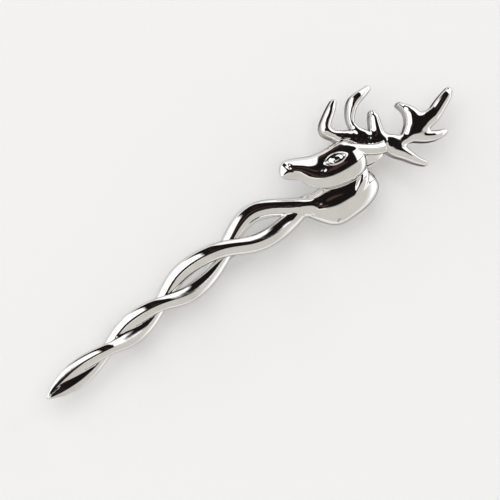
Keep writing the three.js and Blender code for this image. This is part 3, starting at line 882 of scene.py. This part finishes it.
def metal_finish():
    """The finish that every metal of the pin shares: broad clouds where the polish is duller, and fine
    marks of the wheel inside them. Both are noises over the surface's own place. The tone follows the
    clouds, and the roughness the clouds times the marks."""
    group = bpy.data.node_groups.new("metal_finish", "ShaderNodeTree")
    sockets = {
        "INPUT": (("Place", "Vector"), ("Bright", "Color"), ("Dull", "Color"), ("Smooth", "Float"),
                  ("Rough", "Float"), ("Cloud Size", "Float")),
        "OUTPUT": (("Color", "Color"), ("Roughness", "Float"), ("Marks", "Float")),
    }
    for side, labels in sockets.items():
        for label, kind in labels:
            group.interface.new_socket(label, in_out=side, socket_type="NodeSocket" + kind)
    nodes, links = group.nodes, group.links
    given = nodes.new("NodeGroupInput").outputs
    result = nodes.new("NodeGroupOutput").inputs
    clouds = nodes.new("ShaderNodeTexNoise")
    clouds.inputs["Detail"].default_value = CLOUD_DETAIL
    marks = nodes.new("ShaderNodeTexNoise")
    marks.inputs["Detail"].default_value = MARKS_DETAIL
    finer = nodes.new("ShaderNodeMath")
    finer.operation = "MULTIPLY"
    finer.inputs[1].default_value = MARKS_FINENESS
    dullness = nodes.new("ShaderNodeMapRange")
    dullness.inputs["From Min"].default_value = CLOUD_EDGES[0]
    dullness.inputs["From Max"].default_value = CLOUD_EDGES[1]
    tone = nodes.new("ShaderNodeMix")
    tone.data_type = "RGBA"
    both = nodes.new("ShaderNodeMath")
    both.operation = "MULTIPLY"
    roughness = nodes.new("ShaderNodeMapRange")
    roughness.inputs["From Max"].default_value = MARKS_FULL
    links.new(given["Place"], clouds.inputs["Vector"])
    links.new(given["Place"], marks.inputs["Vector"])
    links.new(given["Cloud Size"], clouds.inputs["Scale"])
    links.new(given["Cloud Size"], finer.inputs[0])
    links.new(finer.outputs[0], marks.inputs["Scale"])
    links.new(clouds.outputs["Fac"], dullness.inputs["Value"])
    links.new(dullness.outputs["Result"], tone.inputs["Factor"])
    links.new(given["Bright"], tone.inputs["A"])
    links.new(given["Dull"], tone.inputs["B"])
    links.new(dullness.outputs["Result"], both.inputs[0])
    links.new(marks.outputs["Fac"], both.inputs[1])
    links.new(both.outputs[0], roughness.inputs["Value"])
    links.new(given["Smooth"], roughness.inputs["To Min"])
    links.new(given["Rough"], roughness.inputs["To Max"])
    links.new(tone.outputs["Result"], result["Color"])
    links.new(roughness.outputs["Result"], result["Roughness"])
    links.new(marks.outputs["Fac"], result["Marks"])
    return group


finish_group = metal_finish()


def metal(name, bright, dull, smooth, rough, cloud_size, marks_height, edge_tint, stretch=(1.0, 1.0, 1.0)):
    """A metal with its own colours and polish. The finish is stretched along a drawn or turned piece."""
    material = bpy.data.materials.new(name)
    material.use_nodes = True
    nodes, links = material.node_tree.nodes, material.node_tree.links
    shader = nodes["Principled BSDF"]
    shader.inputs["Metallic"].default_value = 1.0
    shader.inputs["Specular Tint"].default_value = edge_tint
    place = nodes.new("ShaderNodeTexCoord")
    spread = nodes.new("ShaderNodeMapping")
    spread.inputs["Scale"].default_value = stretch
    finish = nodes.new("ShaderNodeGroup")
    finish.node_tree = finish_group
    finish.inputs["Bright"].default_value = bright
    finish.inputs["Dull"].default_value = dull
    finish.inputs["Smooth"].default_value = smooth
    finish.inputs["Rough"].default_value = rough
    finish.inputs["Cloud Size"].default_value = cloud_size
    bump = nodes.new("ShaderNodeBump")
    bump.inputs["Strength"].default_value = MARKS_STRENGTH
    bump.inputs["Distance"].default_value = marks_height
    links.new(place.outputs["Object"], spread.inputs["Vector"])
    links.new(spread.outputs["Vector"], finish.inputs["Place"])
    links.new(finish.outputs["Color"], shader.inputs["Base Color"])
    links.new(finish.outputs["Roughness"], shader.inputs["Roughness"])
    links.new(finish.outputs["Marks"], bump.inputs["Height"])
    links.new(bump.outputs["Normal"], shader.inputs["Normal"])
    return material


casting.data.materials.append(metal(
    "bright_plate", bright=(0.94, 0.93, 0.915, 1.0), dull=(0.88, 0.865, 0.84, 1.0), smooth=0.03, rough=0.09,
    cloud_size=260.0, marks_height=0.6e-6, edge_tint=(0.04, 0.03, 0.03, 1.0)))

# Pin stem: drawn steel wire with a long ground point, wrapped at the other end into the drilled barrel
# that turns on the rivet. It lies closed, with its tip through the catch.
WIRE_RADIUS = 0.45
STEM_LENGTH = 63.2
POINT_LENGTH = 5.0
POINT_END = 0.15
WIRE_END = 0.75
BARREL_RADIUS = 1.0
BARREL_LENGTH = 1.3
BARREL_ROUND = 0.12
WIRE_SIDES = 32
WIRE_RINGS = 30
POINT_RINGS = 28
POINT_POWER = 1.4
POINT_CLOSING = 0.5
BARREL_CORNER_STEP = 15.0
CREASE = math.radians(50)


def on_pin_line(places):
    """From millimetres along, across and above the closed stem, counted from the hinge, to metres."""
    turn = np.array([[math.cos(STEM_TURN), math.sin(STEM_TURN), 0.0],
                     [-math.sin(STEM_TURN), math.cos(STEM_TURN), 0.0], [0.0, 0.0, 1.0]])
    return (places @ turn + HINGE) * MM + np.array(joint)


def shells_mesh(name, shells):
    """One mesh of closed shells. A shell is a grid of rings, each ring joined to the next. It is closed
    by a flat face at each end, or, where it is a loop, back to its first ring."""
    places, faces = [], []
    first = 0
    for rings, loop in shells:
        count, sides = rings.shape[:2]
        index = first + np.arange(count * sides).reshape(count, sides)
        here = index if loop else index[:-1]
        after = np.roll(index, -1, 0) if loop else index[1:]
        quads = np.stack([here, np.roll(here, -1, 1), np.roll(after, -1, 1), after], -1)
        faces += quads.reshape(-1, 4).tolist()
        if not loop:
            faces += [index[0, ::-1].tolist(), index[-1].tolist()]
        places.append(rings.reshape(-1, 3))
        first += count * sides
    mesh = bpy.data.meshes.new(name)
    mesh.from_pydata(on_pin_line(np.concatenate(places)), [], faces)
    mesh.update()
    mesh.shade_smooth()
    mesh.set_sharp_from_angle(angle=CREASE)
    return mesh


def wire_rings():
    """Round rings along the wire. At the share p of the point's length its radius has fallen by p to the
    POINT_POWER, on the way down to POINT_END. The last ring is drawn in a little more, to round the tip."""
    straight = np.linspace(-WIRE_END, POINT_LENGTH - STEM_LENGTH, WIRE_RINGS)
    over_point = np.linspace(0.0, 1.0, POINT_RINGS)[1:]
    along = np.concatenate([straight, POINT_LENGTH - STEM_LENGTH - POINT_LENGTH * over_point])
    narrowed = POINT_END + (1.0 - POINT_END) * (1.0 - over_point ** POINT_POWER)
    taper = np.concatenate([np.ones(WIRE_RINGS), narrowed])
    taper[-1] *= POINT_CLOSING
    around = np.linspace(0.0, 2.0 * math.pi, WIRE_SIDES, endpoint=False)
    radius = WIRE_RADIUS * taper[:, None]
    return np.stack([np.broadcast_to(along[:, None], (len(along), WIRE_SIDES)),
                     -radius * np.cos(around), radius * np.sin(around)], -1)


def turned_about_cross_axis(outline, sides=48):
    """A closed outline of radius and place along the rivet, turned about the rivet's axis."""
    around = np.linspace(0.0, 2.0 * math.pi, sides, endpoint=False)[:, None]
    radius, across = outline[:, 0], outline[:, 1]
    return np.stack([radius * np.sin(around), np.broadcast_to(across, (sides, len(across))),
                     radius * np.cos(around)], -1)


def barrel_outline():
    """A rectangle from the drilled hole to the outer radius, with its corners rounded as quarter circles: a
    small circle whose four quarters are moved out to the corners."""
    middle = (RIVET_HOLE + BARREL_RADIUS) / 2
    half = np.array([(BARREL_RADIUS - RIVET_HOLE) / 2, BARREL_LENGTH / 2]) - BARREL_ROUND
    turns = np.radians(np.arange(360.0, 0.0, -BARREL_CORNER_STEP) - BARREL_CORNER_STEP / 2)
    circle = np.stack([np.cos(turns), np.sin(turns)], 1)
    return np.sign(circle) * half + BARREL_ROUND * circle + (middle, 0.0)


stem = bpy.data.objects.new("stem_wire", shells_mesh("stem_wire", [
    (wire_rings(), False), (turned_about_cross_axis(barrel_outline()), True)]))
bpy.context.scene.collection.objects.link(stem)
stem.data.materials.append(metal(
    "pin_steel", bright=(0.80, 0.80, 0.81, 1.0), dull=(0.62, 0.62, 0.63, 1.0), smooth=0.12, rough=0.26,
    cloud_size=900.0, marks_height=3e-6, edge_tint=(0.6, 0.6, 0.6, 1.0), stretch=(0.08, 1.0, 1.0)))
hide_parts("pin_stem")
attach(stem, "stem")

# Hinge rivet: a steel rivet through both lugs and the stem's barrel. Its two ends are closed into low domes
# over the lugs, so that it stays fast in the casting while the barrel turns on it.
RIVET_RADIUS = 0.4
RIVET_HEAD = 0.8
RIVET_DOME = 0.35
RIVET_GAP = 0.2
RIVET_RIM = 0.05
DOME_STOP = 86.0
DOME_POWER = 0.7


def rivet_outline():
    """The shank, and at each end a dome above a low rim. Over its turn t the dome's height grows as sin t
    and its radius falls as cos t to the DOME_POWER."""
    reach = LUG_GAP / 2 + LUG_THICKNESS + RIVET_GAP
    turns = np.radians(np.linspace(0.0, DOME_STOP, 12))
    height = reach + RIVET_RIM + (RIVET_DOME - RIVET_RIM) * np.sin(turns)
    dome = np.stack([RIVET_HEAD * np.cos(turns) ** DOME_POWER, height], 1)
    shank = [(RIVET_RADIUS, 0.0), (RIVET_RADIUS, reach), (RIVET_HEAD - RIVET_RIM, reach)]
    upper = np.concatenate([shank, dome])
    lower = upper[:0:-1] * (1.0, -1.0)
    return np.concatenate([lower, upper])


def rivet_rings(sides=40):
    """The outline turned about the rivet's axis, ring after ring along it."""
    return turned_about_cross_axis(rivet_outline(), sides).transpose(1, 0, 2)


rivet = bpy.data.objects.new("rivet_domed", shells_mesh("rivet_domed", [(rivet_rings(), False)]))
bpy.context.scene.collection.objects.link(rivet)
rivet.data.materials.append(metal(
    "rivet_steel", bright=(0.78, 0.78, 0.79, 1.0), dull=(0.58, 0.57, 0.57, 1.0), smooth=0.16, rough=0.34,
    cloud_size=1500.0, marks_height=5e-6, edge_tint=(0.6, 0.6, 0.6, 1.0)))
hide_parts("hinge_rivet")
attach(rivet, "casting")

# Catch roller: a turned and slotted spool, held in the housing by a flange at each end, with a thumb tab
# on the outer flange to turn it.
ROLLER_RADIUS = 1.1
ROLLER_BORE = 0.65
FLANGE_RADIUS = 1.45
FLANGE_THICKNESS = 0.4
FLANGE_ROUND = 0.1
ROLLER_GAP = 0.2
TAB_REACH = 2.4
TAB_WIDTH = 0.9
TAB_ROOT = 0.7
TAB_ROUND = 0.08
TAB_OVAL = 5.0


def spool_rings(sides=36):
    """C-shaped rings: an outer arc, and an inner arc at the bore, both cut off by the slot's two straight
    walls, half a slot from the middle. The outer radius changes along the spool, with the edges of the
    flanges rounded as quarter circles."""
    half = CATCH_LENGTH / 2 + ROLLER_GAP
    edge = np.radians(np.linspace(0.0, 90.0, 5))
    rounded = FLANGE_RADIUS - FLANGE_ROUND * (1.0 - np.cos(edge[::-1]))
    inward = FLANGE_ROUND * (1.0 - np.sin(edge[::-1]))
    outer_end = half + FLANGE_THICKNESS
    flange = np.concatenate([np.stack([outer_end - inward, rounded], 1),
                             np.stack([half + inward, rounded], 1)[::-1]])
    right = np.concatenate([flange, [(half, ROLLER_RADIUS)]])
    stations = np.concatenate([right, right[::-1] * (-1.0, 1.0)])[::-1]
    inner_cut = math.asin(CATCH_SLOT / 2 / ROLLER_BORE)
    inner = np.linspace(-math.pi / 2 + inner_cut, 1.5 * math.pi - inner_cut, sides)
    rings = []
    for along, radius in stations:
        cut = math.asin(CATCH_SLOT / 2 / radius)
        outer = np.linspace(-math.pi / 2 + cut, 1.5 * math.pi - cut, sides)
        around = np.concatenate([outer, inner[::-1]])
        reach = np.concatenate([np.full(sides, radius), np.full(sides, ROLLER_BORE)])
        rings.append(np.stack([np.full(2 * sides, along), reach * np.cos(around), reach * np.sin(around)], 1))
    return np.array(rings) + (CATCH_AT, 0.0, 0.0)


def tab_rings(sides=40):
    """A flat bar with round ends. Its outline is the oval (y^n + z^n = 1) of power TAB_OVAL, and towards both
    faces it is drawn in as a quarter circle."""
    around = np.linspace(0.0, 2.0 * math.pi, sides, endpoint=False)
    circle = np.stack([np.cos(around), np.sin(around)], 1)
    outline = np.sign(circle) * np.abs(circle) ** (2.0 / TAB_OVAL)
    low, high = FLANGE_RADIUS * TAB_ROOT, TAB_REACH
    face = CATCH_LENGTH / 2 + ROLLER_GAP + FLANGE_THICKNESS / 2
    quarter = np.radians(np.linspace(-90.0, 90.0, 9))
    rings = []
    for turn in quarter:
        drawn_in = TAB_ROUND * (1.0 - math.cos(turn))
        size = np.array([(high - low) / 2 - drawn_in, TAB_WIDTH / 2 - drawn_in])
        across = outline * size + ((low + high) / 2, 0.0)
        along = np.full((sides, 1), CATCH_AT - face + math.sin(turn) * FLANGE_THICKNESS / 2)
        rings.append(np.concatenate([along, across], 1))
    return np.array(rings)


roller = bpy.data.objects.new("roller_spool", shells_mesh("roller_spool", [
    (spool_rings(), False), (tab_rings(), False)]))
bpy.context.scene.collection.objects.link(roller)
roller.data.materials.append(metal(
    "catch_plate", bright=(0.90, 0.89, 0.87, 1.0), dull=(0.72, 0.70, 0.67, 1.0), smooth=0.10, rough=0.24,
    cloud_size=1100.0, marks_height=4e-6, edge_tint=(0.6, 0.6, 0.6, 1.0)))
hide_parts("catch_roller")
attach(roller, "roller")
